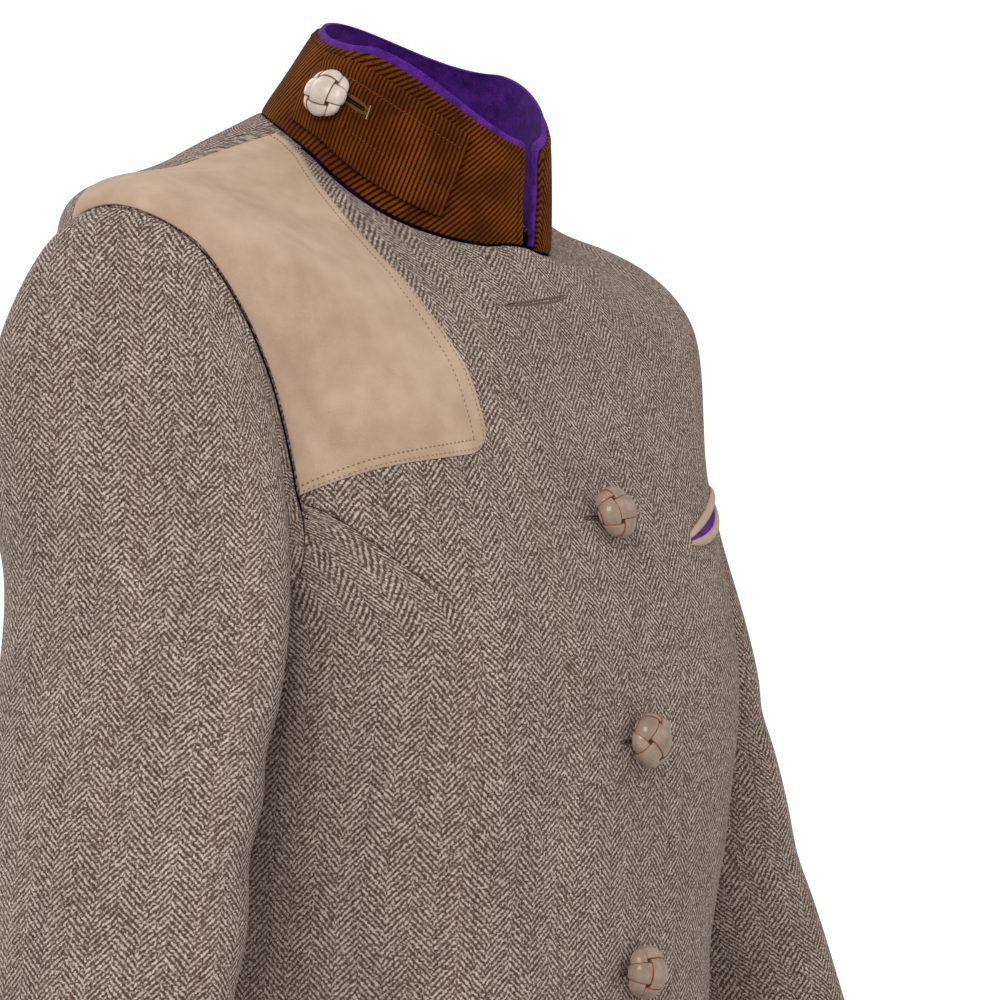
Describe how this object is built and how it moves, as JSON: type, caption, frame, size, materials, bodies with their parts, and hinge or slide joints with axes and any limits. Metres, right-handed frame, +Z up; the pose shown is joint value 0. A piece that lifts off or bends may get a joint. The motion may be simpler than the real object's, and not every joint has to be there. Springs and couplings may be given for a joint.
{
  "type": "shooting jacket",
  "caption": "Fitted ladies' tweed shooting jacket, worn and hollow, with a stand collar, collar tab, suede gun patch, jetted breast pocket and leather buttons.",
  "frame": {"origin": "middle of the base of the neck, where the wearer's neck and shoulders carry the jacket", "axes": "+Z up, -Y to the front, -X to the wearer's right"},
  "size_m": [0.68, 0.2875, 0.7137],
  "materials": {
    "tweed": "woven wool herringbone, matt and slightly hairy",
    "corduroy": "needle cord, rust brown ribs and dark valleys",
    "felt": "purple wool felt",
    "suede": "tan suede, matt",
    "leather": "woven taupe leather, satin",
    "pale_leather": "woven pale leather, satin"
  },
  "bodies": {
    "root": {"right_front": "tweed", "left_front": "tweed", "right_side": "tweed", "left_side": "tweed", "right_back": "tweed", "left_back": "tweed", "right_top_sleeve": "tweed", "left_top_sleeve": "tweed", "right_under_sleeve": "tweed", "left_under_sleeve": "tweed", "collar_outer": "corduroy", "collar_inner": "felt", "collar_tab": "corduroy", "shoulder_patch": "suede", "pocket_upper_jet": "suede", "pocket_lower_jet": "suede", "pocket_lining": "felt", "front_button_1": "leather", "front_button_2": "leather", "front_button_3": "leather", "front_button_4": "leather", "tab_button": "pale_leather"}
  },
  "joints": []
}
